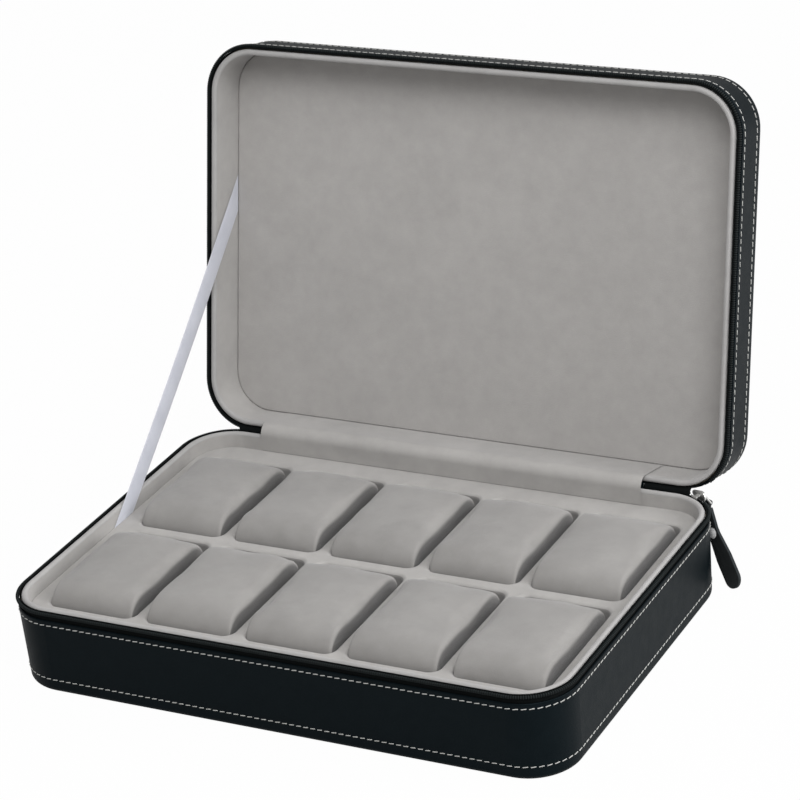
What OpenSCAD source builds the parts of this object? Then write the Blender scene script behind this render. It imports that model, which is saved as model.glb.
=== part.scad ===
// Zip-round travel case for ten watches, standing open on its ribbon stay.
// Origin: centre of the underside. +X is the wearer's right, -Y the front, +Z up.
// Both halves are drawn from one set of wall layers. The lid is drawn closed over the base
// and then turned back about the hinge line by open_angle.

/* [Case] */
// Outer width over the leather, side to side
case_w = 340; // [310:1:380]
// Outer depth over the leather, front to back
case_d = 234; // [220:1:270]
// Height from the floor to the plane where the halves meet
base_h = 52.4; // [51:0.2:60]
// Height of the lid above that plane
lid_h = 36; // [33:0.2:42]
// Outer radius of the upright corners
corner_r = 29.5; // [26:0.5:40]
// How much narrower the base is at the floor, on each side
base_draft = 1.2; // [0:0.1:3]
// How much narrower the lid is at its top, on each side
lid_draft = 0.6; // [0:0.1:2]
// Opening angle of the lid, from closed
open_angle = 103.7; // [90:0.1:110]

/* [Walls] */
// Thickness of the leather
leather_t = 1.3; // [1:0.1:1.8]
// Radius of the rolled edge round the underside and the top
edge_r = 3.6; // [3.4:0.1:6]
// Distance from the meeting plane down to the folded leather edge
leather_drop = 5.6; // [4.5:0.1:8]
// Thickness of the stiffening board
board_t = 2; // [1.5:0.1:3]
// Distance from the outer face to the inner face of the velvet wall
wall_t = 6.1; // [5.5:0.1:8]
// Height of the padded rim over the board
rim_h = 3.8; // [3:0.1:5]
// Radius of the padded rim
rim_r = 1.7; // [1:0.1:1.9]
// Gap that each rim leaves to the meeting plane
rim_gap = 0.2; // [0.15:0.05:0.5]

/* [Zip] */
// Thickness of the tape
tape_t = 0.5; // [0.4:0.1:0.8]
// Height of the tape
tape_h = 10; // [8:0.5:14]
// Gap from the tape's edge to the meeting plane
tape_gap = 0.4; // [0.35:0.05:0.8]
// Radius of each coil
coil_r = 1.05; // [0.8:0.05:1.2]
// Rear end of the zip on the left, from the middle of the case
zip_left = 128; // [110:1:130]
// Rear end of the zip on the right, from the middle of the case
zip_right = 121; // [105:1:125]
// Radius of the zipped cord of coils behind the slider
chain_r = 0.9; // [0.7:0.05:0.95]

/* [Tray] */
// Top of the tray over the floor
tray_top = 42.5; // [39:0.5:45]
// Thickness of the padded tray floor
tray_floor_t = 1.6; // [1:0.1:3]
// Number of wells side by side
columns = 5; // [5:1:5]
// Pitch of the wells, side to side
well_pitch = 62.7; // [56:0.1:63]
// Width of a well
well_w = 54.7; // [48:0.1:55]
// Length of a well, front to back
well_l = 89.5; // [86:0.5:92]
// Width of the bar between the two rows
row_bar = 9; // [7:0.5:12]
// How far the wells lie behind the middle of the tray
wells_back = 0.8; // [0:0.2:2]
// Corner radius of a well
well_r = 6; // [4:0.5:10]
// Rounding of the tray's upper edges
tray_edge_r = 2.6; // [1.5:0.1:3.5]

/* [Pillows] */
// Height of a pillow
pillow_h = 47.6; // [43:0.2:50]
// Length of a pillow, shorter than its well
pillow_l = 80.5; // [76:0.5:84]
// Gap beside a pillow in its well
pillow_gap = 0.9; // [0.4:0.1:1.5]
// Gap between a pillow and the front end of its well
pillow_front_gap = 1.2; // [0.4:0.1:2]
// How far the sides draw in at half length
pillow_pull = 0.5; // [0:0.1:2]
// Margin of velvet and wadding round the foam core
cover_t = 6; // [5:0.5:9]

/* [Lid panel] */
// Depth of the panel behind the meeting plane
panel_depth = 26.6; // [23:0.2:28]
// Thickness of the panel's card
card_t = 1.4; // [1:0.1:2]

/* [Hinge and stay] */
// Distance of the hinge line from the rear face
hinge_inset = 0.35; // [0.2:0.05:0.6]
// Thickness of the velvet hinge flap
flap_t = 0.6; // [0.4:0.1:1]
// Width of the ribbon
ribbon_w = 13.2; // [8:0.2:18]
// Thickness of the ribbon
ribbon_t = 0.4; // [0.3:0.1:0.6]
// Where the ribbon leaves the tray, from the middle
ribbon_base_y = 6; // [-20:1:20]
// Where the ribbon enters the lid, from the middle of the closed lid
ribbon_lid_y = -23; // [-40:1:0]

/* [Slider and pull] */
// Place of the slider on the rear right corner, counted from the right side
slider_at = 62; // [58:0.5:62]
// Length of the slider
slider_l = 11; // [9:0.5:12]
// Height of the slider at its wide end
slider_h = 6.4; // [5:0.2:7]
// Thickness of the slider's outer plate
slider_t = 1; // [0.8:0.1:1.4]
// Wire radius of the link
link_r = 0.65; // [0.5:0.05:0.7]
// Length of the link between its two bars
link_l = 8.6; // [7.5:0.1:8.8]
// Inner width of the link
link_w = 3.9; // [3.5:0.1:5]
// Lean of the link away from the slider
link_hang = 34; // [30:1:45]
// Length of the leather pull's neck, from the link to the rivet
pull_neck_l = 17.7; // [15:0.1:18]
// Length of the pull from the rivet to the middle of its round end
pull_l = 28; // [25:0.5:29]
// Width of the leather pull
pull_w = 12.4; // [9:0.2:13]
// Thickness of the leather pull
pull_t = 2; // [1.6:0.1:2.6]
// Lean of the pull against the link
pull_hang = -45; // [-48:1:-43]
// Sideways slant of the pull's neck
pull_slant = 23.6; // [22:0.2:28]
// Further bend of the pull below the rivet
pull_bend = 20; // [18:0.5:26]
// Width of the pull at the rivet
pull_neck_w = 9; // [8:0.1:10]
// Radius of the rivet's head
rivet_r = 3.1; // [2:0.1:3.6]

/* [Hidden] */
$fn = 64;

// Clearances: between stacked layers, between seated pieces, and round moving metal
layer_gap = 0.05;
seat_gap = 0.15;
soft_gap = 0.3;
metal_gap = 0.1;

hinge_y = case_d / 2 - hinge_inset;
corner_x = case_w / 2 - corner_r;
corner_y = case_d / 2 - corner_r;

// Layers of the wall as distances inwards from the outer face
tape_out = leather_t + layer_gap;
tape_in = tape_out + tape_t;
board_out = tape_in + layer_gap;
board_in = board_out + board_t;
rim_out = tape_in + 0.7;
coil_u = tape_out - coil_r - layer_gap;

// Half of the slider's length as an angle of its corner
slider_half = slider_l / corner_r / 2 * 180 / PI;

floor_z = leather_t + layer_gap;
board_top = floor_z + board_t;
tray_inset = wall_t + seat_gap;
pad_top = board_top + layer_gap + tray_floor_t;
pillow_z = pad_top + soft_gap;
pillow_w = well_w - 2 * pillow_gap;

black = [0.09, 0.1, 0.11];
zip_black = [0.05, 0.06, 0.06];
velvet = [0.63, 0.62, 0.61];
velvet_dark = [0.52, 0.51, 0.5];
kraft = [0.62, 0.52, 0.38];
metal = [0.72, 0.72, 0.7];
satin = [0.74, 0.75, 0.82];
foam = [0.85, 0.84, 0.78];

// ---- Placing -------------------------------------------------------------------------

// Turns children about the hinge line, as the lid does when it opens
module about_hinge(angle) {
    translate([0, hinge_y, base_h])
        rotate([-angle, 0, 0])
            translate([0, -hinge_y, -base_h])
                children();
}

// Puts a half that is drawn from its outer face upwards into the lid's place
module as_lid() {
    about_hinge(open_angle)
        translate([0, 0, base_h + lid_h])
            mirror([0, 0, 1])
                children();
}

// ---- Sweeps round the case's outline ---------------------------------------------------
// The profile's x runs outwards from the outer face and its y runs up.

// Straight stretch along the side that lies at distance half from the middle
module stretch(half, from, to) {
    translate([from, half, 0])
        rotate([90, 0, 90])
            linear_extrude(to - from)
                children();
}

// Round stretch on the corner of quarter q, from angle a to angle b. One that starts part
// way round is swept back from its end, so that it meets the straight side exactly.
module corner(q, a, b) {
    sx = (q == 0 || q == 3) ? 1 : -1;
    sy = (q == 0 || q == 1) ? 1 : -1;
    translate([sx * corner_x, sy * corner_y, 0])
        rotate([0, 0, q * 90 + (a > 0 ? b : a)])
            mirror([0, a > 0 ? 1 : 0, 0])
                rotate_extrude(angle = b - a)
                    translate([corner_r, 0])
                        children();
}

module all_round() {
    stretch(case_d / 2, -corner_x, corner_x) children();
    three_sides_and_corners() children();
}

module three_sides_and_corners() {
    three_sides() children();
    for (q = [0 : 3])
        corner(q, 0, 90) children();
}

// The right, front and left sides
module three_sides() {
    rotate([0, 0, 90]) stretch(case_w / 2, -corner_y, corner_y) children();
    rotate([0, 0, -90]) stretch(case_w / 2, -corner_y, corner_y) children();
    rotate([0, 0, 180]) stretch(case_d / 2, -corner_x, corner_x) children();
}

// Rounded rectangle, inset from the outer face
module inset_outline(inset) {
    w = case_w - 2 * inset;
    d = case_d - 2 * inset;
    rounded_rectangle(w, d, corner_r - inset);
}

module rounded_rectangle(w, d, r) {
    square([w - 2 * r, d], center = true);
    square([w, d - 2 * r], center = true);
    for (x = [-1, 1], y = [-1, 1])
        translate([x * (w / 2 - r), y * (d / 2 - r)])
            circle(r);
}

// ---- One half of the case --------------------------------------------------------------
// h is the height from the outer face to the meeting plane, draft the taper over it.

function taper(z, h, draft) = -draft * (1 - z / h);

// Slanting band of a wall, between two heights and two distances from the outer face
module band(z0, z1, out, in, h, draft) {
    polygon([
        [taper(z0, h, draft) - in, z0], [taper(z0, h, draft) - out, z0],
        [taper(z1, h, draft) - out, z1], [taper(z1, h, draft) - in, z1]]);
}

// Board of walls and floor in one, its lower corner trimmed to the rolled leather
module board(h, draft) {
    top = h - rim_gap - rim_h - seat_gap;
    foot = taper(edge_r, h, draft);
    head = taper(top, h, draft);
    lap = 1;
    all_round()
        intersection() {
            polygon([
                [foot - edge_r - lap, floor_z], [foot - board_out, floor_z],
                [foot - board_out, edge_r], [head - board_out, top], [head - board_in, top],
                [foot - board_in, edge_r], [foot - board_in, board_top],
                [foot - edge_r - lap, board_top]]);
            union() {
                translate([foot - edge_r, edge_r]) circle(edge_r - floor_z);
                translate([-2 * edge_r, edge_r]) square([2 * edge_r, h]);
                translate([foot - 2 * edge_r, 0]) square(edge_r);
            }
        }
    translate([0, 0, floor_z])
        linear_extrude(board_t)
            inset_outline(edge_r - foot);
}

module side_leather(h, draft) {
    top = h - leather_drop;
    shoulder = 0.1;
    fold_r = leather_t / 2 - shoulder;
    all_round() {
        band(edge_r + layer_gap, top - fold_r, 0, leather_t, h, draft);
        translate([taper(top - fold_r, h, draft) - leather_t / 2, top - fold_r])
            circle(fold_r);
    }
}

module end_leather(h, draft) {
    inset = edge_r - taper(edge_r, h, draft);
    lap = 1;
    all_round()
        translate([-inset, edge_r])
            difference() {
                intersection() {
                    union() {
                        circle(edge_r);
                        translate([-lap, -edge_r]) square([lap, edge_r]);
                    }
                    translate([-lap, -edge_r]) square([edge_r + lap, edge_r]);
                }
                circle(edge_r - leather_t);
                translate([-2 * lap, leather_t - edge_r]) square([2 * lap, edge_r]);
            }
    linear_extrude(leather_t)
        inset_outline(inset + lap / 2);
}

module zip_tape(h, draft) {
    module strip() {
        band(h - tape_gap - tape_h, h - tape_gap, tape_out, tape_in, h, draft);
    }
    three_sides_and_corners() strip();
    stretch(case_d / 2, -corner_x, -zip_left) strip();
    stretch(case_d / 2, zip_right, corner_x) strip();
}

// Each coil ends on the rear corners, short of where the opening lid would press them together
module zip_coil(h) {
    left_end = 11;
    module wire() {
        translate([-coil_u, h - tape_gap - coil_r]) circle(coil_r);
    }
    three_sides() wire();
    corner(0, 0, slider_at - slider_half - 1.5) wire();
    corner(1, left_end, 90) wire();
    corner(2, 0, 90) wire();
    corner(3, 0, 90) wire();
}

module lining(h, draft, from) {
    top = h - rim_gap;
    back = board_in + layer_gap;
    all_round() {
        polygon([
            [-wall_t, from], [taper(from, h, draft) - back, from],
            [taper(top - rim_h, h, draft) - back, top - rim_h], [-wall_t, top - rim_h]]);
        translate([-wall_t, top - rim_h]) square([wall_t - rim_out, rim_h - rim_r]);
        translate([-wall_t + rim_r, top - rim_r - 0.1])
            square([wall_t - rim_out - 2 * rim_r, rim_r + 0.1]);
        for (u = [rim_out + rim_r, wall_t - rim_r])
            translate([-u, top - rim_r]) circle(rim_r);
    }
}

// ---- Base ------------------------------------------------------------------------------

module base_board() {
    color(kraft) board(base_h, base_draft);
}

module base_side_leather() {
    color(black) side_leather(base_h, base_draft);
}

module base_bottom_leather() {
    color(black) end_leather(base_h, base_draft);
}

module base_zip_tape() {
    color(zip_black) zip_tape(base_h, base_draft);
}

module base_zip_coil() {
    color(zip_black) zip_coil(base_h);
}

module base_lining() {
    color(velvet) lining(base_h, base_draft, board_top + layer_gap);
}

module tray_floor() {
    color(velvet_dark)
        translate([0, 0, board_top + layer_gap])
            linear_extrude(tray_floor_t)
                inset_outline(tray_inset);
}

// Rounded-over upper edge of an opening w by l with corner radius r, as the part cut away
module rolled_mouth(w, l, r) {
    module over() {
        difference() {
            translate([-0.01, 0]) square([tray_edge_r + 0.01, tray_edge_r + 1]);
            translate([tray_edge_r, 0]) circle(tray_edge_r);
        }
    }
    for (s = [0, 1]) {
        rotate([0, 0, 180 * s]) {
            translate([r - w / 2, l / 2, 0])
                rotate([90, 0, 90])
                    linear_extrude(w - 2 * r) over();
            translate([w / 2, l / 2 - r, 0])
                rotate([90, 0, 0])
                    linear_extrude(l - 2 * r) over();
            for (x = [-1, 1])
                translate([x * (w / 2 - r), l / 2 - r, 0])
                    rotate([0, 0, x > 0 ? 0 : 90])
                        rotate_extrude(angle = 90)
                            translate([r, 0]) over();
        }
    }
}

// Middle of the wells of column i, and of the front (-1) or back (1) row
function well_x(i) = (i - (columns - 1) / 2) * well_pitch;
function well_y(row) = row * (row_bar + well_l) / 2 + wells_back;

module tray_grid() {
    color(velvet)
        difference() {
            translate([0, 0, pad_top + layer_gap])
                linear_extrude(tray_top - pad_top - layer_gap)
                    inset_outline(tray_inset);
            for (i = [0 : columns - 1], s = [-1, 1])
                translate([well_x(i), well_y(s), 0]) {
                    linear_extrude(base_h)
                        rounded_rectangle(well_w, well_l, well_r);
                    translate([0, 0, tray_top - tray_edge_r])
                        rolled_mouth(well_w, well_l, well_r);
                }
        }
}

// ---- Hinge and stay --------------------------------------------------------------------

// A point [y, z] of the closed lid, turned open
function opened(p) = [
    hinge_y + (p[0] - hinge_y) * cos(open_angle) + (p[1] - base_h) * sin(open_angle),
    base_h - (p[0] - hinge_y) * sin(open_angle) + (p[1] - base_h) * cos(open_angle)];

// Line of the [y, z] plane that runs up the rear wall, round the hinge and up the lid
function hinge_line(y0, y1, y2, z0, z2, steps = 12) = concat(
    [[y0, z0]],
    [for (i = [0 : steps])
        let (a = 180 - open_angle * i / steps)
        [hinge_y + (hinge_y - y1) * cos(a), base_h + (hinge_y - y1) * sin(a)]],
    [opened([y2, z2])]);

function reversed(list) = [for (i = [len(list) - 1 : -1 : 0]) list[i]];

module hinge_sheet(x0, x1, outer, inner) {
    translate([x0, 0, 0])
        rotate([90, 0, 90])
            linear_extrude(x1 - x0)
                polygon(concat(outer, reversed(inner)));
}

module hinge_strip() {
    z0 = base_h - tape_gap - tape_h;
    z2 = 2 * base_h - z0;
    rear = case_d / 2;
    foot = taper(z0, base_h, base_draft);
    head = taper(lid_h - z2 + base_h, lid_h, lid_draft);
    color(black)
        hinge_sheet(-zip_left + 0.5, zip_right - 0.5,
            hinge_line(rear + foot - tape_out, rear - tape_out, rear + head - tape_out, z0, z2),
            hinge_line(rear + foot - tape_in, rear - tape_in, rear + head - tape_in, z0, z2));
}

module hinge_flap() {
    near = case_d / 2 - wall_t - 0.2;
    far = near - flap_t;
    z0 = tray_top + soft_gap;
    z2 = base_h + panel_depth - soft_gap;
    color(velvet)
        hinge_sheet(-zip_left, zip_right,
            hinge_line(near, near, near, z0, z2),
            hinge_line(far, far, far, z0, z2));
}

// Flat ribbon against the left walls, from the tray's edge to the lid panel's edge
module ribbon_stay() {
    z0 = tray_top + soft_gap;
    z1 = base_h + panel_depth - soft_gap;
    foot = [ribbon_base_y, z0];
    head = opened([ribbon_lid_y, z1]);
    way = head - foot;
    rise = atan2(way[1], way[0]);
    foot_half = ribbon_w / 2 / sin(rise);
    head_half = ribbon_w / 2 / sin(180 - open_angle - rise);
    head_way = [cos(180 - open_angle), sin(180 - open_angle)];
    color(satin)
        translate([wall_t + seat_gap - case_w / 2, 0, 0])
            rotate([90, 0, 90])
                linear_extrude(ribbon_t)
                    polygon([
                        foot - [foot_half, 0], foot + [foot_half, 0],
                        head - head_way * head_half, head + head_way * head_half]);
}

// ---- Lid -------------------------------------------------------------------------------

module lid_board() {
    color(kraft) as_lid() board(lid_h, lid_draft);
}

module lid_side_leather() {
    color(black) as_lid() side_leather(lid_h, lid_draft);
}

module lid_top_leather() {
    color(black) as_lid() end_leather(lid_h, lid_draft);
}

module lid_zip_tape() {
    color(zip_black) as_lid() zip_tape(lid_h, lid_draft);
}

module lid_zip_coil() {
    color(zip_black) as_lid() zip_coil(lid_h);
}

module lid_lining() {
    color(velvet) as_lid() lining(lid_h, lid_draft, board_top + layer_gap);
}

module lid_panel_card() {
    color(kraft)
        as_lid()
            translate([0, 0, board_top + layer_gap])
                linear_extrude(card_t)
                    inset_outline(tray_inset);
}

module lid_panel() {
    bottom = board_top + card_t + 2 * layer_gap;
    top = lid_h - panel_depth;
    edge = 1;
    color(velvet_dark)
        as_lid() {
            translate([0, 0, bottom])
                linear_extrude(top - edge - bottom)
                    inset_outline(tray_inset);
            translate([0, 0, top - edge])
                linear_extrude(edge)
                    inset_outline(tray_inset + edge);
            all_round()
                translate([-tray_inset - edge, top - edge])
                    intersection() {
                        circle(edge);
                        square(edge);
                    }
        }
}

// ---- Zip slider and pull -----------------------------------------------------------------
// The zipped chain and the slider lie in the meeting plane, on the base.

eye_u = corner_r + 3.1;
plate_u = corner_r - coil_u + coil_r + metal_gap + layer_gap;

// Slider's own frame: x along the zip, y outwards, z across the zip
module at_slider() {
    translate([corner_x, corner_y, base_h])
        rotate([0, 0, slider_at - 90])
            children();
}

module at_link() {
    at_slider()
        translate([0, eye_u, 0])
            rotate([link_hang, 0, 0])
                children();
}

module at_pull() {
    at_link()
        translate([0, 0, -link_l])
            rotate([pull_hang, 0, 0])
                children();
}

module zipped_chain() {
    chain_end = slider_at + slider_half + 1;
    color(zip_black)
        translate([0, 0, base_h]) {
            stretch(case_d / 2, zip_right, corner_x)
                translate([-hinge_inset, 0]) circle(chain_r);
            corner(0, chain_end, 90)
                translate([-hinge_inset, 0]) circle(chain_r);
        }
}

module zip_end_box() {
    box_l = 3;
    color(metal)
        translate([zip_right - box_l - layer_gap, hinge_y, base_h])
            rotate([0, 90, 0])
                cylinder(r = chain_r, h = box_l);
}

module slider_body() {
    keeper_y = corner_r - tape_in - metal_gap;
    keeper_l = 5;
    keeper_t = 0.3;
    tail_h = 3.6;
    color(metal)
        at_slider() {
            translate([0, plate_u + slider_t, 0])
                rotate([90, 0, 0])
                    linear_extrude(slider_t) {
                        translate([(slider_l - slider_h) / 2, 0]) circle(slider_h / 2);
                        translate([(tail_h - slider_l) / 2, 0]) circle(tail_h / 2);
                        polygon([
                            [(slider_l - slider_h) / 2, -slider_h / 2],
                            [(slider_l - slider_h) / 2, slider_h / 2],
                            [(tail_h - slider_l) / 2, tail_h / 2],
                            [(tail_h - slider_l) / 2, -tail_h / 2]]);
                    }
            translate([-1.5, keeper_y - keeper_t, -0.25])
                cube([3, plate_u - keeper_y + keeper_t + 0.2, 0.5]);
            translate([-keeper_l / 2, keeper_y - keeper_t - 0.15, -0.9])
                cube([keeper_l, keeper_t, 1.8]);
        }
}

module slider_eye() {
    foot_y = plate_u + slider_t + layer_gap;
    eye_r = link_r + 1;
    eye_t = 2.2;
    color(metal)
        at_slider()
            difference() {
                translate([-eye_t / 2, 0, 0])
                    rotate([90, 0, 90])
                        linear_extrude(eye_t)
                            intersection() {
                                union() {
                                    translate([eye_u, 0]) circle(eye_r);
                                    translate([foot_y, -eye_r])
                                        square([eye_u - foot_y, 2 * eye_r]);
                                }
                                translate([foot_y, -eye_r])
                                    square([3 * eye_r, 2 * eye_r]);
                            }
                translate([-eye_t, eye_u, 0])
                    rotate([0, 90, 0])
                        cylinder(r = link_r + metal_gap, h = 2 * eye_t);
            }
}

// Wire ring with round corners in the x-z plane, hanging from its upper bar
module pull_link() {
    half = link_w / 2 + link_r;
    bend = 1.2;
    module bar(l) {
        translate([-l / 2, 0, 0]) rotate([0, 90, 0]) cylinder(r = link_r, h = l);
    }
    color(metal)
        at_link() {
            for (z = [0, -link_l])
                translate([0, 0, z]) bar(2 * half - 2 * bend);
            for (x = [-1, 1])
                translate([x * half, 0, bend - link_l])
                    cylinder(r = link_r, h = link_l - 2 * bend);
            for (x = [-1, 1], z = [0, 1])
                translate([x * (half - bend), 0, -bend - z * (link_l - 2 * bend)])
                    rotate([90, 0, 0])
                        rotate([0, 0, x > 0 ? (z == 0 ? 0 : 270) : (z == 0 ? 90 : 180)])
                            rotate_extrude(angle = 90)
                                translate([bend, 0]) circle(link_r);
        }
}

// Leather folded round the link's lower bar and riveted, with a round end
module pull_leather() {
    loop_w = link_w - 2 * soft_gap;
    loop_r = pull_t / 2 + 0.75;
    neck = 5;
    color(black)
        at_pull()
            difference() {
                union() {
                    translate([-loop_w / 2, 0, 0])
                        rotate([0, 90, 0]) cylinder(r = loop_r, h = loop_w);
                    translate([-loop_w / 2, -pull_t / 2, -neck])
                        cube([loop_w, pull_t, neck]);
                    translate([0, pull_t / 2, 0])
                        rotate([90, 0, 0])
                            linear_extrude(pull_t)
                                rotate(pull_slant)
                                    pull_outline();
                }
                translate([-pull_w, 0, 0])
                    rotate([0, 90, 0]) cylinder(r = link_r + metal_gap, h = 2 * pull_w);
                rivet_hole(pull_w, layer_gap);
            }
}

// Flat shape of the pull: a neck that widens down to the rivet, and a bent round end
module pull_outline() {
    shoulder = 3.2;
    neck_top_w = 3.6;
    lap = 0.3;
    knee = pull_neck_w / 2 - lap;
    wide_at = pull_l * 0.55;
    polygon([
        [-neck_top_w / 2, -shoulder], [neck_top_w / 2, -shoulder],
        [knee, -pull_neck_l], [-knee, -pull_neck_l]]);
    translate([0, -pull_neck_l]) {
        circle(pull_neck_w / 2);
        rotate(pull_bend) {
            polygon([
                [-knee, 0], [knee, 0], [pull_w / 2, -wide_at], [pull_w / 2, -pull_l],
                [-pull_w / 2, -pull_l], [-pull_w / 2, -wide_at]]);
            translate([0, -pull_l]) circle(pull_w / 2);
        }
    }
}

shank_r = 1.2;

module rivet_hole(l, gap) {
    rotate([0, -pull_slant, 0])
        translate([0, l / 2, -pull_neck_l])
            rotate([90, 0, 0])
                cylinder(r = shank_r + gap, h = l);
}

// Domed rivet through both layers of the pull
module pull_rivet() {
    head_t = 0.9;
    dome_r = (rivet_r * rivet_r + head_t * head_t) / (2 * head_t);
    color(metal)
        at_pull() {
            rivet_hole(pull_t + 0.4, 0);
            rotate([0, -pull_slant, 0])
                for (s = [-1, 1])
                    translate([0, s * (pull_t / 2 + layer_gap), -pull_neck_l])
                        rotate([-90 * s, 0, 0])
                            rotate_extrude()
                                intersection() {
                                    translate([0, head_t - dome_r]) circle(dome_r, $fn = 128);
                                    square([rivet_r, head_t]);
                                }
        }
}

// ---- Pillows -----------------------------------------------------------------------------

function pillow_x(n) = well_x((n - 1) % columns);
function pillow_y(n) =
    well_y(n <= columns ? -1 : 1) - (well_l - pillow_l) / 2 + pillow_front_gap;

stations = 17;
spokes = 24;
waist = 0.56 * pillow_h;

// Squareness of the pillow along it: of its sides, its crown and its underside
side_square = 12;
crown_square = 3.2;
foot_square = 8;

// Fullness of the pillow at y, from -1 to 1, for a corner of the given squareness
function full(y, squareness) = pow(max(0, 1 - pow(abs(y), squareness)), 1 / squareness);
function signed_pow(v, e) = sign(v) * pow(abs(v), e);

// Point of the skin: station i along the pillow, spoke j round it
function skin(i, j) =
    let (y = signed_pow(sin(-84 + 168 * i / (stations - 1)), 0.55) / pow(sin(84), 0.55) * 0.998,
        a = 360 * j / spokes,
        crown = sin(a) > 0,
        x = signed_pow(cos(a), 0.4) * (full(y, side_square) - 2 * pillow_pull / pillow_w * (1 - y * y)),
        up = crown
            ? (pillow_h - waist) * full(y, crown_square) * signed_pow(sin(a), 0.4)
            : waist * full(y, foot_square) * signed_pow(sin(a), 0.25))
    [x * pillow_w / 2, y * pillow_l / 2, waist + up];

module pillow_skin() {
    rings = [for (i = [0 : stations - 1], j = [0 : spokes - 1]) skin(i, j)];
    ends = [for (i = [0, stations - 1]) [0, skin(i, 0)[1], waist]];
    points = concat(rings, ends);
    last = (stations - 1) * spokes;
    faces = concat(
        [for (i = [0 : stations - 2], j = [0 : spokes - 1])
            let (k = (j + 1) % spokes)
            [i * spokes + j, i * spokes + k, (i + 1) * spokes + k]],
        [for (i = [0 : stations - 2], j = [0 : spokes - 1])
            let (k = (j + 1) % spokes)
            [i * spokes + j, (i + 1) * spokes + k, (i + 1) * spokes + j]],
        [for (j = [0 : spokes - 1]) [(j + 1) % spokes, j, stations * spokes]],
        [for (j = [0 : spokes - 1])
            [last + j, last + (j + 1) % spokes, stations * spokes + 1]]);
    polyhedron(points, faces);
}

// Foam core, and the hollow for it when gap is more than 0
module core_block(gap) {
    core_h = pillow_h - 2.4 * cover_t;
    translate([0, 0, cover_t - gap])
        linear_extrude(core_h + 2 * gap)
            rounded_rectangle(pillow_w - 2 * cover_t + 2 * gap,
                pillow_l - 4 * cover_t + 2 * gap, 4 + gap);
}

module pillow_cover(n) {
    color(velvet)
        translate([pillow_x(n), pillow_y(n), pillow_z])
            difference() {
                pillow_skin();
                core_block(seat_gap);
            }
}

module pillow_core(n) {
    color(foam)
        translate([pillow_x(n), pillow_y(n), pillow_z])
            core_block(0);
}

// ---- Nodes -------------------------------------------------------------------------------

base_board();
base_side_leather();
base_bottom_leather();
base_zip_tape();
base_zip_coil();
base_lining();
tray_floor();
tray_grid();
hinge_strip();
hinge_flap();
ribbon_stay();
lid_board();
lid_side_leather();
lid_top_leather();
lid_zip_tape();
lid_zip_coil();
lid_lining();
lid_panel();
lid_panel_card();
zipped_chain();
zip_end_box();
slider_body();
slider_eye();
pull_link();
pull_leather();
pull_rivet();
for (n = [1 : 2 * columns]) {
    pillow_cover(n);
    pillow_core(n);
}
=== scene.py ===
"""Watch travel case: looks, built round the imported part.

Metres, in the part's frame: the origin under the middle of the base, -Y the front, +Z up.
Each half is drawn as if closed and the lid's pieces are then turned back about the hinge.
"""
import bpy
import math
from math import cos, pi, radians, sin
from mathutils import Matrix, Vector, noise


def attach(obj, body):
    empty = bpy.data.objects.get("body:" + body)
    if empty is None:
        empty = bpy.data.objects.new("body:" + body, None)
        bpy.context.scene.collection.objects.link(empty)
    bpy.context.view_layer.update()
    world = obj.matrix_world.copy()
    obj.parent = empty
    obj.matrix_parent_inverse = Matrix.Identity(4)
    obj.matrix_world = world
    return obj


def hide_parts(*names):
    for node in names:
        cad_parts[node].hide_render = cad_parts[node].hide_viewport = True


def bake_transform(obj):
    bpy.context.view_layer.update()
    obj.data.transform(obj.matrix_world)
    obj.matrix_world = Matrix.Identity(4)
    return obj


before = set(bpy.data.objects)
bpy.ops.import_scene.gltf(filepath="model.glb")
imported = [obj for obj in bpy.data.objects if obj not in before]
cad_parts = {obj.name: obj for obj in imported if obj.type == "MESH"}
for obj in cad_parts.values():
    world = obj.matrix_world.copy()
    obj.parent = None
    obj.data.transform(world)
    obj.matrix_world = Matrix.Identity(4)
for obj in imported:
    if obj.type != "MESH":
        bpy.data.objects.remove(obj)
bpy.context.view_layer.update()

# ---- Sizes, from the part ------------------------------------------------------------------

MM = 0.001
CASE_W, CASE_D = 340 * MM, 234 * MM
BASE_H, LID_H = 52.4 * MM, 36 * MM
CORNER_R = 29.5 * MM
BASE_DRAFT, LID_DRAFT = 1.2 * MM, 0.6 * MM
OPEN_ANGLE = radians(103.7)
TAPE_U = 1.35 * MM             # outer face of the tape, inwards from the outer face
TAPE_T = 0.5 * MM
TAPE_GAP = 0.4 * MM
COIL_R = 1.05 * MM
COIL_U = 0.25 * MM
ZIP_LEFT, ZIP_RIGHT = 128 * MM, 121 * MM
TRAY_TOP = 42.5 * MM
PANEL_DEPTH = 26.6 * MM
HINGE = Vector((0, CASE_D / 2 - 0.35 * MM, BASE_H))
CORNER_X, CORNER_Y = CASE_W / 2 - CORNER_R, CASE_D / 2 - CORNER_R
STITCH_PITCH, STITCH_LEN, STITCH_R = 4.3 * MM, 2.9 * MM, 0.3 * MM
STITCH_SLANT = radians(7)
COLUMNS, WELL_PITCH = 5, 62.7 * MM
WELL_L, ROW_BAR, WELLS_BACK = 89.5 * MM, 9 * MM, 0.8 * MM
PILLOW_Z, PILLOW_H = 5.3 * MM, 47.6 * MM

# ---- Camera --------------------------------------------------------------------------------

CAMERA_AT = Vector((790.50, -1340.62, 881.08)) * MM
CAMERA_TURN, CAMERA_DROP, CAMERA_ROLL = radians(29.47), radians(25.398), radians(-5.97)
FOCAL_PX, IMAGE_PX, SENSOR_MM = 3150, 800, 36


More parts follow.
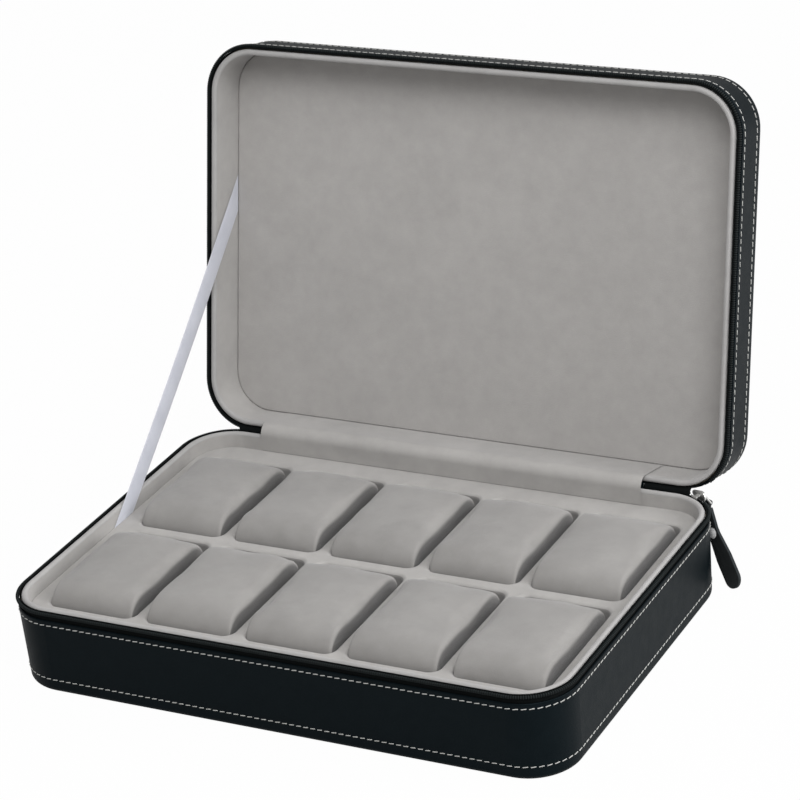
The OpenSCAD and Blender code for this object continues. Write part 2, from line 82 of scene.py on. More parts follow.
def add_camera():
    camera = bpy.data.cameras.new("camera")
    camera.sensor_width = SENSOR_MM
    camera.lens = FOCAL_PX / IMAGE_PX * SENSOR_MM
    camera.clip_end = 20
    holder = bpy.data.objects.new("camera", camera)
    bpy.context.scene.collection.objects.link(holder)
    forward = Vector((-sin(CAMERA_TURN) * cos(CAMERA_DROP),
                      cos(CAMERA_TURN) * cos(CAMERA_DROP), -sin(CAMERA_DROP)))
    level = forward.cross(Vector((0, 0, 1))).normalized()
    above = level.cross(forward)
    right = cos(CAMERA_ROLL) * level + sin(CAMERA_ROLL) * above
    up = cos(CAMERA_ROLL) * above - sin(CAMERA_ROLL) * level
    holder.matrix_world = Matrix((
        (right.x, up.x, -forward.x, CAMERA_AT.x), (right.y, up.y, -forward.y, CAMERA_AT.y),
        (right.z, up.z, -forward.z, CAMERA_AT.z), (0, 0, 0, 1)))
    bpy.context.scene.camera = holder


add_camera()

# ---- Shader expressions --------------------------------------------------------------------


class Value:
    """A shader socket that can be used in Python arithmetic."""

    def __init__(self, tree, socket):
        self.tree = tree
        self.socket = socket

    def math(self, operation, *others):
        made = self.tree.nodes.new("ShaderNodeMath")
        made.operation = operation
        for slot, value in zip(made.inputs, (self, *others)):
            plug(self.tree, slot, value)
        return Value(self.tree, made.outputs[0])

    def node(self, kind, output, settings=None, **inputs):
        """Output of a new node of that kind, whose inputs are given by name."""
        made = self.tree.nodes.new("ShaderNode" + kind)
        for name, value in (settings or {}).items():
            setattr(made, name, value)
        for name, value in inputs.items():
            plug(self.tree, made.inputs[name.replace("_", " ")], value)
        return Value(self.tree, made.outputs[output])

    def __add__(self, other):
        return self.math("ADD", other)

    def __radd__(self, other):
        return self.math("ADD", other)

    def __sub__(self, other):
        return self.math("SUBTRACT", other)

    def __mul__(self, other):
        return self.math("MULTIPLY", other)

    def __truediv__(self, other):
        return self.math("DIVIDE", other)

    def clamp(self, low, high):
        return self.math("MAXIMUM", low).math("MINIMUM", high)

    def ramp(self, start, end):
        """0 before start, 1 after end, and a straight line between."""
        return ((self - start) / (end - start)).clamp(0, 1)


def plug(tree, slot, value):
    if isinstance(value, Value):
        tree.links.new(value.socket, slot)
    else:
        slot.default_value = value


class Material:
    """A Principled material with Object coordinates at hand."""

    def __init__(self, name, roughness=0.5, metallic=0.0):
        self.made = bpy.data.materials.new(name)
        self.made.use_nodes = True
        self.tree = self.made.node_tree
        self.shader = self.tree.nodes["Principled BSDF"]
        self.shader.inputs["Roughness"].default_value = roughness
        self.shader.inputs["Metallic"].default_value = metallic
        coords = self.tree.nodes.new("ShaderNodeTexCoord")
        self.place = Value(self.tree, coords.outputs["Object"])

    def noise(self, scale, detail=3.0, roughness=0.55):
        return self.place.node("TexNoise", "Fac", Vector=self.place, Scale=scale,
                               Detail=detail, Roughness=roughness)

    def cells(self, scale):
        return self.place.node("TexVoronoi", "Distance", {"feature": "F1"},
                               Vector=self.place, Scale=scale)

    def attribute(self, name):
        return self.place.node("Attribute", "Fac", {"attribute_name": name})

    def mix(self, factor, low, high):
        """A colour between low and high by a 0 to 1 factor."""
        made = self.tree.nodes.new("ShaderNodeMix")
        made.data_type = "RGBA"
        plug(self.tree, made.inputs[0], factor)
        for slot, value in ((6, low), (7, high)):
            plug(self.tree, made.inputs[slot],
                 value if isinstance(value, Value) else (*value, 1))
        return Value(self.tree, made.outputs[2])

    def finish(self, color, roughness=None, bump=None, depth=0.0001):
        plug(self.tree, self.shader.inputs["Base Color"],
             color if isinstance(color, Value) else (*color, 1))
        if roughness is not None:
            plug(self.tree, self.shader.inputs["Roughness"], roughness)
        if bump is not None:
            normal = bump.node("Bump", "Normal", Height=bump, Distance=depth, Strength=1.0)
            plug(self.tree, self.shader.inputs["Normal"], normal)
        return self.made


# ---- Materials -----------------------------------------------------------------------------


def leather(name="leather", low=(0.0010, 0.0028, 0.0038), high=(0.0028, 0.0052, 0.0066)):
    m = Material(name)
    m.shader.inputs["Specular IOR Level"].default_value = 0.08
    m.shader.inputs["Specular Tint"].default_value = (0.72, 0.9, 1.0, 1)
    grain = m.cells(1500)
    fine = m.noise(2600, 2)
    broad = m.noise(30, 3)
    wear = m.noise(140, 4)
    height = grain * 0.55 + fine * 0.25 + broad * 1.6
    color = m.mix(wear, low, high)
    return m.finish(color, (0.33 + wear * 0.16).clamp(0.25, 0.6), height, 0.00009)


def velvet(name, shade, tint=(1.0, 1.0, 1.0), depth=0.0002, sides=False, patches=0.5):
    """Short pile: fine fibres, soft patches where it is brushed, and a pale sheen. With sides,
    the side panels of a pillow are darkened: painted shade, for the shade between the pillows."""
    m = Material(name, roughness=0.95)
    pile = m.noise(2300, 4, 0.7)
    fleck = m.noise(5200, 2)
    brushed = m.noise(26, 4, 0.6)
    strokes = m.noise(110, 3, 0.6)
    dark = tuple(shade * 0.62 * t for t in tint)
    light = tuple(shade * 1.32 * t for t in tint)
    tone = (pile * 0.34 + fleck * 0.16 + (brushed - 0.5) * patches + strokes * 0.28
            + 0.11).clamp(0, 1)
    m.shader.inputs["Sheen Weight"].default_value = 0.25
    m.shader.inputs["Sheen Roughness"].default_value = 0.45
    m.shader.inputs["Sheen Tint"].default_value = (0.9, 0.9, 0.92, 1)
    color = m.mix(tone, dark, light)
    # Painted shade: with sides, the side panels take a darker colour for the shade in the narrow
    # gaps between the pillows.
    if sides:
        shaded = tuple(shade * 0.36 * t for t in tint)
        color = m.mix(m.attribute("side") * 0.9, color, shaded)
    return m.finish(color, None, pile + brushed * 0.6, depth)


def thread():
    m = Material("thread", roughness=0.6)
    fibre = m.noise(4200, 2)
    return m.finish(m.mix(fibre, (0.26, 0.26, 0.25), (0.50, 0.50, 0.48)), None, fibre, 0.0001)


def tape():
    m = Material("tape", roughness=0.9)
    m.shader.inputs["Specular IOR Level"].default_value = 0.08
    weave = m.cells(2200)
    return m.finish(m.mix(weave, (0.0016, 0.0022, 0.0024), (0.005, 0.0062, 0.0064)), None,
                    weave, 0.00012)


def coil():
    m = Material("coil")
    m.shader.inputs["Specular IOR Level"].default_value = 0.12
    fleck = m.noise(1800, 3)
    color = m.mix(fleck, (0.006, 0.0085, 0.009), (0.015, 0.019, 0.0195))
    return m.finish(color, 0.34 + fleck * 0.2, fleck, 0.00005)


def metal(name, low, high, roughness, metallic=1.0):
    m = Material(name, metallic=metallic)
    scratch = m.noise(700, 5, 0.65)
    worn = m.noise(260, 3)
    return m.finish(m.mix(worn, low, high), roughness + scratch * 0.18, scratch, 0.00003)


def satin():
    """Ribbon: fine cross ribs with a bright edge cord, from the ribbon's own coordinates."""
    m = Material("satin", roughness=0.42)
    along = m.attribute("along")
    across = m.attribute("across")
    rib = (along * 5200).math("SINE") * 0.5 + 0.5
    edge = (across - 0.5).math("ABSOLUTE").ramp(0.43, 0.48)
    cloud = m.noise(60, 3)
    base = m.mix(cloud, (0.46, 0.475, 0.54), (0.60, 0.615, 0.68))
    color = m.mix(edge * 0.55, base, (0.66, 0.66, 0.72))
    m.shader.inputs["Sheen Weight"].default_value = 0.3
    return m.finish(color, 0.38 + rib * 0.12, rib * 0.5 + edge, 0.00010)


def board_edge():
    m = Material("board")
    fibre = m.noise(500, 4)
    return m.finish(m.mix(fibre, (0.20, 0.16, 0.11), (0.34, 0.27, 0.19)), 0.9, fibre, 0.0001)


LEATHER = leather()
# Painted light: a lighter copy of the black leather, so that the pull looks lit.
LEATHER_TAB_PAINTED_LIGHT = leather("leather_tab_painted_light", (0.014, 0.0155, 0.0165), (0.024, 0.026, 0.027))
VELVET = velvet("velvet", 0.36, (1.0, 0.968, 0.935))
VELVET_RIM = velvet("velvet_rim", 0.34, (1.0, 0.98, 0.965))
VELVET_PANEL = velvet("velvet_panel", 0.36, (1.0, 0.965, 0.935), patches=0.24)
# Pillow velvet, with painted shade on its side panels.
VELVET_PILLOW = velvet("velvet_pillow", 0.262, (1.0, 0.968, 0.935), 0.00028, True)
# Painted shade: darker velvet for the floor of the tray, down round and under the pillows.
VELVET_FLOOR_SHADE = velvet("velvet_floor_shade", 0.17)
# Painted shade: darker velvet for the walls of the wells.
VELVET_WELL_SHADE = velvet("velvet_well_shade", 0.23, (1.0, 0.97, 0.94))
THREAD, TAPE, COIL, SATIN, BOARD = thread(), tape(), coil(), satin(), board_edge()
ZINC = metal("zinc", (0.66, 0.66, 0.65), (0.84, 0.84, 0.82), 0.3)
# Silvery rivet metal, partly real and partly painted highlight: near white with little metal, so
# it shows bright even in shade.
NICKEL_PAINTED_GLINT = metal("nickel_painted_glint", (0.92, 0.92, 0.92), (0.98, 0.98, 0.98), 0.2, 0.25)

# ---- Making meshes -------------------------------------------------------------------------

OPEN = (Matrix.Translation(HINGE) @ Matrix.Rotation(-OPEN_ANGLE, 4, "X")
        @ Matrix.Translation(-HINGE))


def start_mesh(add, **settings):
    """A primitive, left in edit mode with nothing selected."""
    bpy.ops.object.select_all(action="DESELECT")
    add(**settings)
    bpy.ops.object.mode_set(mode="EDIT")
    return bpy.context.object


def end_mesh(thing, name, material, body=None, turn=None, smooth=60):
    """Leaves edit mode, puts the place into the mesh, and gives it its finish."""
    bpy.ops.object.mode_set(mode="OBJECT")
    bpy.ops.object.select_all(action="DESELECT")
    thing.select_set(True)
    bpy.context.view_layer.objects.active = thing
    bpy.ops.object.transform_apply(location=True, rotation=True, scale=True)
    if smooth:
        bpy.ops.object.shade_smooth_by_angle(angle=radians(smooth))
    if turn:
        thing.data.transform(turn)
    thing.name = thing.data.name = name
    thing.data.materials.clear()
    thing.data.materials.append(material)
    if body:
        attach(thing, body)
    return thing


def apply_modifiers(thing):
    bpy.ops.object.select_all(action="DESELECT")
    thing.select_set(True)
    bpy.context.view_layer.objects.active = thing
    for modifier in list(thing.modifiers):
        bpy.ops.object.modifier_apply(modifier=modifier.name)


def add_path(points, cyclic):
    curve = bpy.data.curves.new("path", "CURVE")
    curve.dimensions = "3D"
    curve.twist_mode = "Z_UP"
    spline = curve.splines.new("POLY")
    spline.points.add(len(points) - 1)
    for slot, point in zip(spline.points, points):
        slot.co = (*point, 1)
    spline.use_cyclic_u = cyclic
    path = bpy.data.objects.new("path", curve)
    bpy.context.scene.collection.objects.link(path)
    return path


def length_of(points, cyclic):
    legs = list(zip(points, points[1:])) + ([(points[-1], points[0])] if cyclic else [])
    return sum((b - a).length for a, b in legs)


def row_along(element, points, pitch, cyclic=False):
    """Repeats the element along a path, with the pitch trimmed to fill it exactly."""
    total = length_of(points, cyclic)
    count = max(1, round(total / pitch))
    path = add_path(points, cyclic)
    array = element.modifiers.new("row", "ARRAY")
    array.use_relative_offset = False
    array.use_constant_offset = True
    array.constant_offset_displace = (total / count, 0, 0)
    array.count = count
    bend = element.modifiers.new("bend", "CURVE")
    bend.object = path
    apply_modifiers(element)
    bpy.data.objects.remove(path)
    return element


def arc(centre, radius, first, last, z, steps=20):
    angles = [radians(first + (last - first) * i / steps) for i in range(steps + 1)]
    return [Vector((centre[0] + radius * cos(a), centre[1] + radius * sin(a), z))
            for a in angles]


def rim_points(inset, z, first=90.0, last=90.0):
    """From angle first on the rear left corner round the left, front and right sides to
    angle last on the rear right corner."""
    r = CORNER_R - inset
    return (arc((-CORNER_X, CORNER_Y), r, first, 180, z)
            + arc((-CORNER_X, -CORNER_Y), r, 180, 270, z)
            + arc((CORNER_X, -CORNER_Y), r, 270, 360, z)
            + arc((CORNER_X, CORNER_Y), r, 0, last, z))


# ---- The part's own pieces that show as they are ---------------------------------------------

FINISHES = {
    "base_side_leather": LEATHER, "base_bottom_leather": LEATHER, "lid_side_leather": LEATHER,
    "lid_top_leather": LEATHER, "base_zip_tape": TAPE, "lid_zip_tape": TAPE,
    "base_lining": VELVET, "lid_lining": VELVET, "tray_floor": VELVET_FLOOR_SHADE,
    "tray_grid": VELVET, "base_board": BOARD, "lid_board": BOARD, "lid_panel": VELVET_PANEL,
    "lid_panel_card": BOARD, "zip_end_box": ZINC, "slider_body": ZINC, "slider_eye": ZINC,
    "pull_link": ZINC, "pull_leather": LEATHER_TAB_PAINTED_LIGHT, "pull_rivet": NICKEL_PAINTED_GLINT,
    "base_zip_coil": COIL, "lid_zip_coil": COIL, "zipped_chain": COIL,
    "hinge_strip": LEATHER, "hinge_flap": VELVET, "ribbon_stay": SATIN}

for node, material in FINISHES.items():
    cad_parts[node].data.materials.clear()
    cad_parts[node].data.materials.append(material)

WALL_LEAN = 0.5                     # a face is a wall when its normal rises less than this
RIM_H = 3.9 * MM


def set_wells():
    """Gives the walls of the wells their own darker velvet, as painted shade in the wells."""
    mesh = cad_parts["tray_grid"].data
    mesh.materials.append(VELVET_WELL_SHADE)
    for face in mesh.polygons:
        face.material_index = int(abs(face.normal.z) < WALL_LEAN)


def set_rim(node, back=None):
    """Gives the padded rim, next to the meeting plane, its own less warm velvet. back takes a
    point of the piece to where it would be with the case shut."""
    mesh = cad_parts[node].data
    mesh.materials.append(VELVET_RIM)
    for face in mesh.polygons:
        middle = sum((mesh.vertices[i].co for i in face.vertices), Vector()) / len(face.vertices)
        if back:
            middle = back @ middle
        face.material_index = int(abs(middle.z - BASE_H) < RIM_H)


set_wells()
set_rim("base_lining")
set_rim("lid_lining", OPEN.inverted())

# ---- Stitches --------------------------------------------------------------------------------

STITCH_LIFT = 0.1 * MM
BASE_ROWS = (43.85 * MM, 8.5 * MM)
LID_ROWS = (8.5 * MM, 27.8 * MM)    # above the meeting plane


def stitch():
    """One dash of thread along X, its ends rounded and the dash slanted a little."""
    thing = start_mesh(bpy.ops.mesh.primitive_cylinder_add, vertices=8, radius=STITCH_R,
                       depth=STITCH_LEN, rotation=(0, pi / 2, 0))
    bpy.ops.mesh.select_all(action="SELECT")
    bpy.ops.mesh.bevel(offset=STITCH_R * 0.6, segments=2, affect="EDGES",
                       offset_type="OFFSET", clamp_overlap=True)
    bpy.ops.mesh.select_all(action="SELECT")
    bpy.ops.transform.rotate(value=STITCH_SLANT, orient_axis="Y")
    return end_mesh(thing, "stitch", THREAD)


def stitch_row(name, z, inset, body, turn=None):
    points = rim_points(inset - STITCH_LIFT, z)
    row = row_along(stitch(), points, STITCH_PITCH, cyclic=True)
    end_mesh(row, name, THREAD, body, turn)


for k, z in enumerate(BASE_ROWS):
    stitch_row(f"base_stitches_{k + 1}", z, BASE_DRAFT * (1 - z / BASE_H), "base")
for k, z in enumerate(LID_ROWS):
    stitch_row(f"lid_stitches_{k + 1}", BASE_H + z, LID_DRAFT * z / LID_H, "lid", OPEN)

# ---- Zip -------------------------------------------------------------------------------------

TOOTH_PITCH = 1.3 * MM
COIL_Z = BASE_H - TAPE_GAP - COIL_R
COIL_FIRST, COIL_LAST = 101, 49.8   # degrees on the rear left and rear right corners
CHAIN_R, CHAIN_U, CHAIN_FIRST = 0.9 * MM, 0.35 * MM, 73.7


def tooth(radius):
    """One turn of the nylon coil, a ring across the line of the coil."""
    thing = start_mesh(bpy.ops.mesh.primitive_torus_add, major_segments=12, minor_segments=7,
                       major_radius=radius * 0.66, minor_radius=radius * 0.34,
                       rotation=(0, pi / 2, 0))
    return end_mesh(thing, "tooth", COIL)


def coil_row(name, points, radius, body, turn, replaced):
    row = row_along(tooth(radius), points, TOOTH_PITCH)
    end_mesh(row, name, COIL, body, turn)
    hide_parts(replaced)


def core_row(name, points, radius, body, turn=None):
    """The cord that runs inside the turns."""
    thing = start_mesh(bpy.ops.mesh.primitive_cylinder_add, vertices=10, radius=radius * 0.72,
                       depth=TOOTH_PITCH, rotation=(0, pi / 2, 0), end_fill_type="NOTHING")
    row = row_along(end_mesh(thing, "core", TAPE), points, TOOTH_PITCH)
    end_mesh(row, name, TAPE, body, turn)


base_coil = rim_points(COIL_U, COIL_Z, COIL_FIRST, COIL_LAST)
lid_coil = rim_points(COIL_U, 2 * BASE_H - COIL_Z, COIL_FIRST, COIL_LAST)
coil_row("base_coil_turns", base_coil, COIL_R, "base", None, "base_zip_coil")
core_row("base_coil_core", base_coil, COIL_R, "base")
coil_row("lid_coil_turns", lid_coil, COIL_R, "lid", OPEN, "lid_zip_coil")
core_row("lid_coil_core", lid_coil, COIL_R, "lid", OPEN)

chain = (arc((CORNER_X, CORNER_Y), CORNER_R - CHAIN_U, CHAIN_FIRST, 90, BASE_H)
         + [Vector((ZIP_RIGHT, HINGE.y, BASE_H))])
coil_row("chain_turns", chain, CHAIN_R, "base", None, "zipped_chain")
core_row("chain_core", chain, CHAIN_R, "base")

# ---- Sheets across the hinge: flap, strip, corner webs and ribbon -----------------------------


def add_sheet(name, material, columns, rows, place):
    """A sheet of columns x rows cells. place gives the point at (across, along), each 0 to 1."""
    thing = start_mesh(bpy.ops.mesh.primitive_grid_add, x_subdivisions=columns,
                       y_subdivisions=rows, size=2)
    bpy.ops.object.mode_set(mode="OBJECT")
    mesh = thing.data
    spots = [((v.co.x + 1) / 2, (v.co.y + 1) / 2) for v in mesh.vertices]
    for label, k in (("across", 0), ("along", 1)):
        attribute = mesh.attributes.new(label, "FLOAT", "POINT")
        attribute.data.foreach_set("value", [spot[k] for spot in spots])
    for v, (across, along) in zip(mesh.vertices, spots):
        v.co = place(across, along)
    return end_mesh(thing, name, material, None, None, 180)


def hinge_profile(radius, low, high):
    """The line that a sheet takes up the rear wall, round the hinge and up the open lid, as a
    function from 0 to 1 along it, with its length. low is where it starts in the base and
    high how far it goes above the meeting plane in the lid."""
    arc_length = radius * OPEN_ANGLE
    legs = (BASE_H - low, arc_length, high)
    total = sum(legs)

    def at(t):
        s = t * total
        if s < legs[0]:
            return HINGE.y - radius, low + s
        if s < legs[0] + legs[1]:
            a = pi - (s - legs[0]) / radius
            return HINGE.y + radius * cos(a), HINGE.z + radius * sin(a)
        spot = OPEN @ Vector((0, HINGE.y - radius, BASE_H + s - legs[0] - legs[1]))
        return spot.y, spot.z

    return at, total


def around_hinge(radius, degrees):
    a = radians(degrees)
    return (0, HINGE.y + radius * cos(a), HINGE.z + radius * sin(a))


FLAP_R = 6.2 * MM
FLAP_LEFT, FLAP_RIGHT = -ZIP_LEFT, ZIP_RIGHT
FLAP_FOOT, FLAP_HEAD = TRAY_TOP + 0.3 * MM, PANEL_DEPTH - 0.4 * MM
FLAP_SLACK = 0.9 * MM


def add_flap():
    line, length = hinge_profile(FLAP_R, FLAP_FOOT, FLAP_HEAD)

    def place(across, along):
        y, z = line(along)
        slack = sin(pi * along) ** 2 * FLAP_SLACK
        wave = noise.noise(Vector((across * 9, along * 2.5, 3))) * slack
        x = FLAP_LEFT + (FLAP_RIGHT - FLAP_LEFT) * across
        return x, y - abs(wave) * 0.8, z + wave * 0.5

    flap = add_sheet("hinge_flap_velvet", VELVET, 150, 44, place)
    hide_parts("hinge_flap")
    around_hinge(FLAP_R, 165)
    around_hinge(FLAP_R, 95)
    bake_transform(flap)


STRIP_REACH, STRIP_END = 10 * MM, 0.5 * MM      # past the meeting plane, short of the zip


def add_strip():
    radius = HINGE.y - (CASE_D / 2 - TAPE_U - TAPE_T / 2)
    line, length = hinge_profile(radius, BASE_H - STRIP_REACH, STRIP_REACH)
    left, right = -ZIP_LEFT + STRIP_END, ZIP_RIGHT - STRIP_END
    strip = add_sheet("hinge_strip_leather", LEATHER, 60, 40, lambda across, along: (
        left + (right - left) * across, *line(along)))
    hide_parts("hinge_strip")
    around_hinge(radius, 170)
    around_hinge(radius, 90)
    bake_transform(strip)


WEB_REACH, WEB_OPEN, WEB_R = 4 * MM, 2.8 * MM, 1.25 * MM
WEB_FLAT = 0.3                      # share of its width that lies against each half


def add_web(name, spots):
    """Black tape between the halves where the zip's own tapes turn the corner. spots gives the
    places along it, from above, on the middle of the tape's thickness."""
    def place(across, along):
        k = across * (len(spots) - 1)
        first = min(int(k), len(spots) - 2)
        x, y = spots[first].lerp(spots[first + 1], k - first)
        low = Vector((x, y, BASE_H - TAPE_GAP))
        high = OPEN @ Vector((x, y, BASE_H + TAPE_GAP))
        if along < WEB_FLAT:
            return low - Vector((0, 0, WEB_REACH * (1 - along / WEB_FLAT)))
        if along > 1 - WEB_FLAT:
            up = WEB_REACH * (along - 1 + WEB_FLAT) / WEB_FLAT
            return OPEN @ Vector((x, y, BASE_H + TAPE_GAP + up))
        t = (along - WEB_FLAT) / (1 - 2 * WEB_FLAT)
        return low.lerp(high, t) + Vector((0, -0.62, 0.79)) * sin(pi * t) * 0.5 * MM

    web = add_sheet(name, TAPE, 40, 30, place)
    around_hinge(WEB_R, 170)
    around_hinge(WEB_R, 90)
    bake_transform(web)


def web_spots(side, from_x, last):
    """From the leather strip's end along the rear side and round the corner to angle last."""
    inset = TAPE_U + TAPE_T / 2
    bend = [Vector((side * (CORNER_X + (CORNER_R - inset) * cos(radians(a))),
                    CORNER_Y + (CORNER_R - inset) * sin(radians(a))))
            for a in range(90, last - 1, -1)]
    return [Vector((side * from_x, CASE_D / 2 - inset))] + bend


RIBBON_X, RIBBON_W = -163.5 * MM, 13.2 * MM
RIBBON_FOOT_Y, RIBBON_LID_Y = 6 * MM, -23 * MM
RIBBON_CUT = 0.12                   # share of its length over which an end's cut fades


def add_ribbon():
    foot = Vector((RIBBON_X, RIBBON_FOOT_Y, TRAY_TOP + 0.2 * MM))
    head = OPEN @ Vector((RIBBON_X, RIBBON_LID_Y, BASE_H + PANEL_DEPTH - 0.3 * MM))
    way = head - foot
    heading = way.normalized()
    sideways = Vector((0, -heading.z, heading.y))
    lid_way = (OPEN.to_3x3() @ Vector((0, -1, 0))).normalized()
    base_way = Vector((0, -1, 0))

    def place(across, along):
        centre = foot + way * along
        off = (across - 0.5) * RIBBON_W
        flat = sideways * off
        # Each end is cut along the edge that it is tucked into
        for end_way, weight in (
                (base_way, 1 - along / RIBBON_CUT), (lid_way, 1 - (1 - along) / RIBBON_CUT)):
            if weight > 0:
                tucked = end_way * (off / end_way.dot(sideways))
                flat = flat.lerp(tucked, weight)
        bow = sin(pi * along) * 0.9 * MM
        cup = (1 - (2 * across - 1) ** 2) * 0.5 * MM * sin(pi * along)
        return centre + flat + Vector((bow + cup, 0, 0))

    ribbon = add_sheet("ribbon_stay_satin", SATIN, 10, 120, place)
    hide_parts("ribbon_stay")
    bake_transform(ribbon)


add_flap()
add_strip()
add_web("web_right", web_spots(1, ZIP_RIGHT - STRIP_END, 71))
add_web("web_left", web_spots(-1, ZIP_LEFT - STRIP_END, 79))
add_ribbon()

# ---- Pillows ---------------------------------------------------------------------------------

PILLOW_W, PILLOW_L, PILLOW_FRONT_GAP = 52.9 * MM, 80.5 * MM, 1.2 * MM


def pillow_y(row):
    """Middle of a pillow in the front row, 0, or the back row, 1."""
    well = (2 * row - 1) * (ROW_BAR + WELL_L) / 2 + WELLS_BACK
    return well - (WELL_L - PILLOW_L) / 2 + PILLOW_FRONT_GAP


END_RUN, END_DROP = 14 * MM, 12.5 * MM      # quarter ellipse at the front and back ends
EDGE_ROUND, FOOT_ROUND = 1.3 * MM, 3 * MM     # along the sides of the top and of the foot
GUSSET = 2.2 * MM                             # how far the side panels draw in
COVER_ROOM = 0.9 * MM                         # left at the sides and ends for the cloth to swell
SWELL = 2.2 * MM                              # how much the middle of the top rises
CLOTH_FRAMES, CLOTH_MOVE = 16, 1.6 * MM


def fall(distance, run, drop):
    """How far a rounded edge has dropped at a distance past where it starts."""
    t = min(1.0, max(0.0, distance / run))
    return drop * (1 - math.sqrt(1 - t * t))


def spread(t):
    """Moves cuts towards the edges, where the shape turns."""
    return 0.2 * t + 0.8 * sin(t * pi / 2)


def shape_pillow(thing, seed):
    """Turns a cut-up cube of half size 1 into a pillow: a top that rolls down at both ends,
    soft long edges and side panels that draw in."""
    shift = Vector((seed * 7.3, seed * 3.1, 0))
    half_w, half_l = PILLOW_W / 2 - COVER_ROOM, PILLOW_L / 2 - COVER_ROOM
    crown = PILLOW_H - SWELL
    # Marks the side panels, which the pillow velvet darkens as painted shade.
    side = thing.data.attributes.new("side", "FLOAT", "POINT")
    side.data.foreach_set("value", [
        float(abs(v.co.x) > 0.999 and v.co.z < 0.999) for v in thing.data.vertices])
    for v in thing.data.vertices:
        x, y, z = spread(v.co.x), spread(v.co.y), v.co.z
        swell = SWELL * (1 - x * x) * (1 - y ** 4)
        top = (crown + swell - fall(abs(y) * half_l - half_l + END_RUN, END_RUN, END_DROP)
               - fall(abs(x) * half_w - half_w + EDGE_ROUND, EDGE_ROUND, EDGE_ROUND))
        foot = fall(abs(x) * half_w - half_w + FOOT_ROUND, FOOT_ROUND, FOOT_ROUND)
        level = (z + 1) / 2
        gusset = GUSSET * sin(pi * level) * (1 - y ** 6) * abs(x) ** 8
        soft = noise.noise(Vector((x * 1.6, y * 2.2, z)) + shift) * 0.7 * MM
        v.co = (x * half_w - math.copysign(gusset, x) + soft * 0.3, y * half_l + soft * 0.3,
                foot + level * (top - foot) + soft * level)


def settle_cloth(thing):
    """Lets the cover puff and crease over its filling, and holds it near its place."""
    before = [v.co.copy() for v in thing.data.vertices]
    cloth = thing.modifiers.new("cloth", "CLOTH")
    cloth.settings.use_pressure = True
    cloth.settings.uniform_pressure_force = 4
    cloth.settings.shrink_min = -0.05
    cloth.settings.tension_stiffness = 12
    cloth.settings.bending_stiffness = 0.06
    cloth.settings.effector_weights.gravity = 0
    cloth.settings.quality = 4
    cloth.point_cache.frame_start, cloth.point_cache.frame_end = 1, CLOTH_FRAMES
    for f in range(1, CLOTH_FRAMES + 1):
        bpy.context.scene.frame_set(f)
    apply_modifiers(thing)
    for v, start in zip(thing.data.vertices, before):
        move = v.co - start
        if move.length > CLOTH_MOVE:
            v.co = start + move.normalized() * CLOTH_MOVE
    bpy.context.scene.frame_set(1)


def fit_pillow(thing):
    """Keeps every point of the cover inside the room that the well leaves it."""
    for v in thing.data.vertices:
        x, y, z = v.co
        v.co = (max(-PILLOW_W / 2, min(PILLOW_W / 2, x)),
                max(-PILLOW_L / 2, min(PILLOW_L / 2, y)), max(0.0, z))


def add_pillow(n):
    column, row = (n - 1) % COLUMNS, (n - 1) // COLUMNS
    thing = start_mesh(bpy.ops.mesh.primitive_cube_add, size=2)
    bpy.ops.mesh.select_all(action="SELECT")
    bpy.ops.mesh.subdivide(number_cuts=17)
    bpy.ops.object.mode_set(mode="OBJECT")
    shape_pillow(thing, n)
    settle_cloth(thing)
    smooth = thing.modifiers.new("smooth", "SUBSURF")
    smooth.levels = 1
    apply_modifiers(thing)
    fit_pillow(thing)
    thing.data.transform(Matrix.Translation((
        (column - (COLUMNS - 1) / 2) * WELL_PITCH, pillow_y(row), PILLOW_Z)))
    end_mesh(thing, f"pillow_{n}_cover", VELVET_PILLOW, f"pillow_{n}", None, 180)
    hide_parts(f"pillow_cover_{n}")


for n in range(1, 2 * COLUMNS + 1):
    add_pillow(n)

# ---- Small metal and the pull -------------------------------------------------------------------


def soften(node, name, material, body, width, segments):
    """The part's own piece with its edges rounded over by width."""
    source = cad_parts[node]
    thing = bpy.data.objects.new(name, source.data.copy())
    thing.matrix_world = source.matrix_world
    bpy.context.scene.collection.objects.link(thing)
    bpy.ops.object.select_all(action="DESELECT")
    thing.select_set(True)
    bpy.context.view_layer.objects.active = thing
    bpy.ops.object.mode_set(mode="EDIT")
    bpy.ops.mesh.select_all(action="SELECT")
    bpy.ops.mesh.remove_doubles(threshold=0.004 * MM)
    bpy.ops.mesh.dissolve_limited(angle_limit=radians(2))
    bpy.ops.object.mode_set(mode="OBJECT")
    round_over = thing.modifiers.new("round", "BEVEL")
    round_over.width = width
    round_over.segments = segments
    round_over.limit_method = "ANGLE"
    round_over.angle_limit = radians(35)
    apply_modifiers(thing)
    end_mesh(thing, name, material, body, None, 40)
    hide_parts(node)


soften("slider_body", "slider_plate", ZINC, "slider", 0.22 * MM, 3)
soften("slider_eye", "slider_bridge", ZINC, "slider", 0.2 * MM, 3)
soften("pull_leather", "pull_tab", LEATHER_TAB_PAINTED_LIGHT, "pull", 0.55 * MM, 4)

# ---- Floor and light -------------------------------------------------------------------------


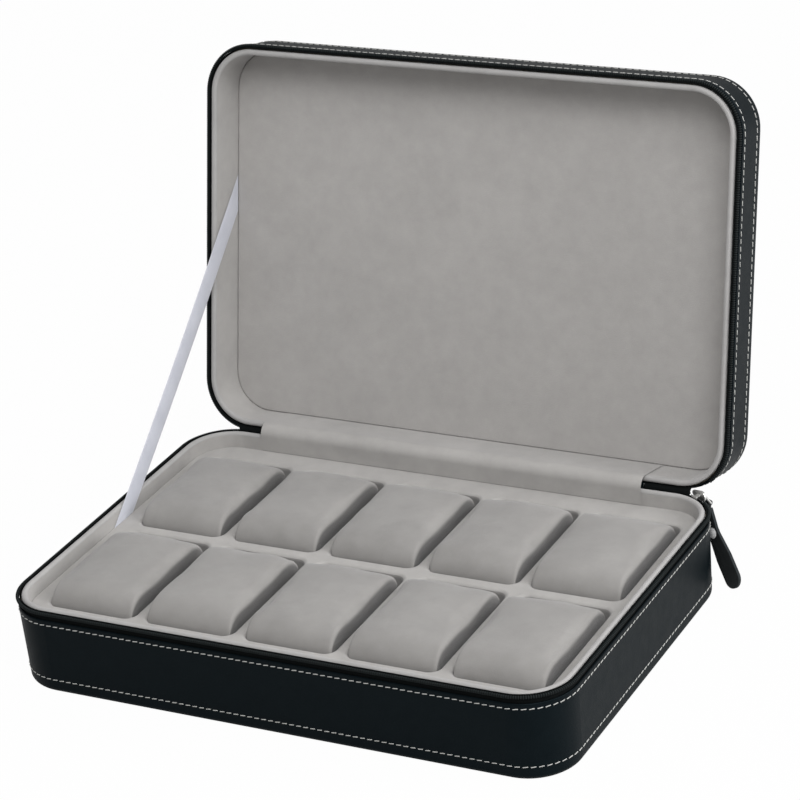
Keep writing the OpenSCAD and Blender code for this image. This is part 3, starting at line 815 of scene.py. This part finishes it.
FLOOR_SEEN = 0.98                   # how much of its plain white the camera sees
FLOOR_ALBEDO, WORLD_STRENGTH = 0.55, 0.46


def add_floor():
    bpy.ops.object.select_all(action="DESELECT")
    bpy.ops.mesh.primitive_plane_add(size=12, location=(0, 0, 0))
    floor = bpy.context.object
    floor.name = "floor"
    m = Material("floor", roughness=0.6)
    m.shader.inputs["Base Color"].default_value = (*[FLOOR_ALBEDO] * 3, 1)
    tree = m.tree
    out = tree.nodes["Material Output"]
    path = tree.nodes.new("ShaderNodeLightPath")
    seen = Value(tree, path.outputs["Is Camera Ray"])
    grime = m.noise(3, 2)
    white = tree.nodes.new("ShaderNodeEmission")
    white.inputs["Strength"].default_value = 1.0
    plug(tree, white.inputs["Color"], m.mix(grime * 0.02, (1, 1, 1), (0.99, 0.99, 0.99)))
    mixed = tree.nodes.new("ShaderNodeMixShader")
    plug(tree, mixed.inputs[0], seen * FLOOR_SEEN)
    tree.links.new(m.shader.outputs[0], mixed.inputs[1])
    tree.links.new(white.outputs[0], mixed.inputs[2])
    tree.links.new(mixed.outputs[0], out.inputs["Surface"])
    floor.data.materials.append(m.made)


def add_light(name, at, towards, size, power):
    light = bpy.data.lights.new(name, "AREA")
    light.shape = "RECTANGLE"
    light.size, light.size_y = size
    light.energy = power
    holder = bpy.data.objects.new(name, light)
    bpy.context.scene.collection.objects.link(holder)
    holder.location = at
    holder.rotation_euler = (Vector(towards) - Vector(at)).to_track_quat("-Z", "Y").to_euler()


def add_world():
    world = bpy.data.worlds.new("studio")
    bpy.context.scene.world = world
    world.use_nodes = True
    world.node_tree.nodes["Background"].inputs["Color"].default_value = (1, 1, 1, 1)
    world.node_tree.nodes["Background"].inputs["Strength"].default_value = WORLD_STRENGTH


add_floor()
add_light("key", (0.9, -1.1, 1.9), (0, 0, 0.08), (1.5, 1.2), 42)
add_light("side", (2.0, 0.4, 0.9), (0.1, 0, 0.1), (1.2, 1.6), 38)
add_world()

bpy.context.scene.view_settings.view_transform = "Standard"
